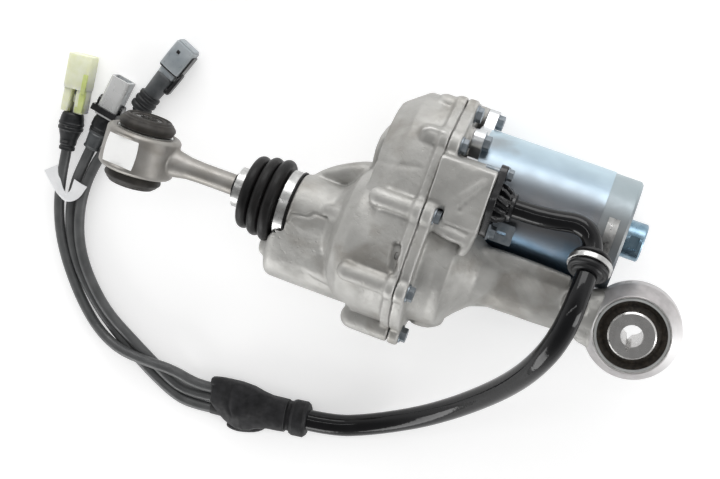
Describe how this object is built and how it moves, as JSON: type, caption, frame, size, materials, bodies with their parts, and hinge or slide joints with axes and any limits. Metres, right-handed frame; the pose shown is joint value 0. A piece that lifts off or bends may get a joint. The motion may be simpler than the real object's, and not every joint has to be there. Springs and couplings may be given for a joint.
{
  "type": "electric steering actuator",
  "caption": "Electromechanical steering link: ball screw rod with rod end and bellows, cast gear case, parallel motor, bushing eye and a wiring harness with plugs.",
  "frame": {"origin": "centre of the bore in the housing eye's bushing", "axes": "+X from the ball joint to the housing eye along the spindle, +Z along the eye's bore, +Y towards the motor side; the ball joint's bore runs along Y"},
  "size_m": [0.4606, 0.2843, 0.1281],
  "materials": {
    "backshell_black": "satin",
    "bellows_rubber": "satin gloss",
    "belt_rubber": "matte",
    "black_plastic": "satin",
    "blue_zinc": "blue zinc plated",
    "board_green": "matte",
    "boot_rubber": "satin",
    "bronze": "satin",
    "bush_rubber": "matte",
    "cable_black": "gloss",
    "cable_grey": "satin",
    "cast_aluminium": "matte cast",
    "clamp_steel": "bright satin",
    "connector_blue": "satin",
    "connector_pale": "satin",
    "connector_yellow": "translucent satin",
    "end_cap_grey": "satin",
    "forged_rod": "satin",
    "gasket_fibre": "matte",
    "grommet_rubber": "matte",
    "ground_steel": "ground",
    "label_white": "matte",
    "liner_plastic": "matte",
    "pulley_aluminium": "satin",
    "splitter_black": "matte",
    "stator_steel": "laminated",
    "turned_aluminium": "turned satin",
    "zinc_can": "zinc plated",
    "zinc_steel": "zinc plated"
  },
  "bodies": {
    "housing": {"backshell_1": "backshell_black", "backshell_2": "backshell_black", "backshell_3": "backshell_black", "bearing_lock_ring": "ground_steel", "bellows": "bellows_rubber", "branch_cable_1": "cable_grey", "branch_cable_2": "cable_grey", "branch_cable_3": "cable_grey", "bush_outer_sleeve": "ground_steel", "bush_rubber": "bush_rubber", "cable_clip": "clamp_steel", "cable_gland": "black_plastic", "cable_grommet": "grommet_rubber", "cable_splitter": "splitter_black", "clip_screw": "zinc_steel", "connector_1": "connector_yellow", "connector_2": "connector_pale", "connector_3": "connector_blue", "dowel_pins": "ground_steel", "drive_belt": "belt_rubber", "end_housing": "cast_aluminium", "flag_label": "label_white", "gear_housing": "cast_aluminium", "gland_screws": "zinc_steel", "gland_tab": "blue_zinc", "guide_bush": "bronze", "guide_key": "ground_steel", "housing_bolts": "zinc_steel", "housing_gasket": "gasket_fibre", "large_clamp": "clamp_steel", "main_cable": "cable_black", "motor_bearings": "ground_steel", "motor_bolts": "zinc_steel", "motor_case": "zinc_can", "motor_end_cap": "end_cap_grey", "motor_end_plug": "blue_zinc", "motor_flange": "pulley_aluminium", "motor_lead": "cable_black", "motor_strap": "clamp_steel", "nut_bearing_balls": "ground_steel", "nut_bearing_ring": "ground_steel", "sensor_board": "board_green", "stator_core": "stator_steel"},
    "nut": {"ball_nut": "ground_steel", "nut_pulley": "pulley_aluminium"},
    "rod": {"spindle": "ground_steel", "rod_end": "forged_rod", "joint_liner": "liner_plastic", "joint_rings": "ground_steel", "small_clamp": "clamp_steel"},
    "motor_rotor": {"motor_shaft": "ground_steel", "rotor": "stator_steel", "motor_pulley": "ground_steel"},
    "boots": {"upper_boot": "boot_rubber", "lower_boot": "boot_rubber"},
    "joint_core": {"ball_sleeve": "turned_aluminium"},
    "bush_core": {"bush_inner_sleeve": "turned_aluminium"},
    "lever": {"connector_lever": "black_plastic"}
  },
  "joints": [
    {"name": "nut_spin", "type": "hinge", "parent": "housing", "child": "nut", "pos_m": [0, 0, 0], "axis": [1, 0, 0], "range_deg": [-720, 720]},
    {"name": "motor_spin", "type": "hinge", "parent": "housing", "child": "motor_rotor", "pos_m": [0, 0.0512, -0.0201], "axis": [1, 0, 0], "range_deg": [-1730, 1730]},
    {"name": "rod_slide", "type": "slide", "parent": "housing", "child": "rod", "axis": [1, 0, 0], "range_m": [-0.0081, 0.0081], "deforming": ["bellows"]},
    {"name": "joint_tilt", "type": "hinge", "parent": "rod", "child": "boots", "pos_m": [-0.345, 0, 0], "axis": [1, 0, 0], "range_deg": [-8, 8], "deforming": ["upper_boot", "lower_boot"]},
    {"name": "joint_swivel", "type": "hinge", "parent": "boots", "child": "joint_core", "pos_m": [-0.345, 0, 0], "axis": [0, 1, 0], "range_deg": [-20, 20]},
    {"name": "bush_twist", "type": "hinge", "parent": "housing", "child": "bush_core", "pos_m": [0, 0, 0], "axis": [0, 0, 1], "range_deg": [-12, 12], "stiffness_Nm_per_rad": 60, "deforming": ["bush_rubber"]},
    {"name": "lever_pivot", "type": "hinge", "parent": "housing", "child": "lever", "pos_m": [-0.39158, 0.01344, -0.0503], "axis": [0.9848, -0.1736, 0], "range_deg": [-45, 0]}
  ],
  "couplings": [
    {"joint": "rod_slide", "follows": "nut_spin", "m_per_rad": 0.00063662},
    {"joint": "motor_spin", "follows": "nut_spin", "ratio": 2.4}
  ]
}
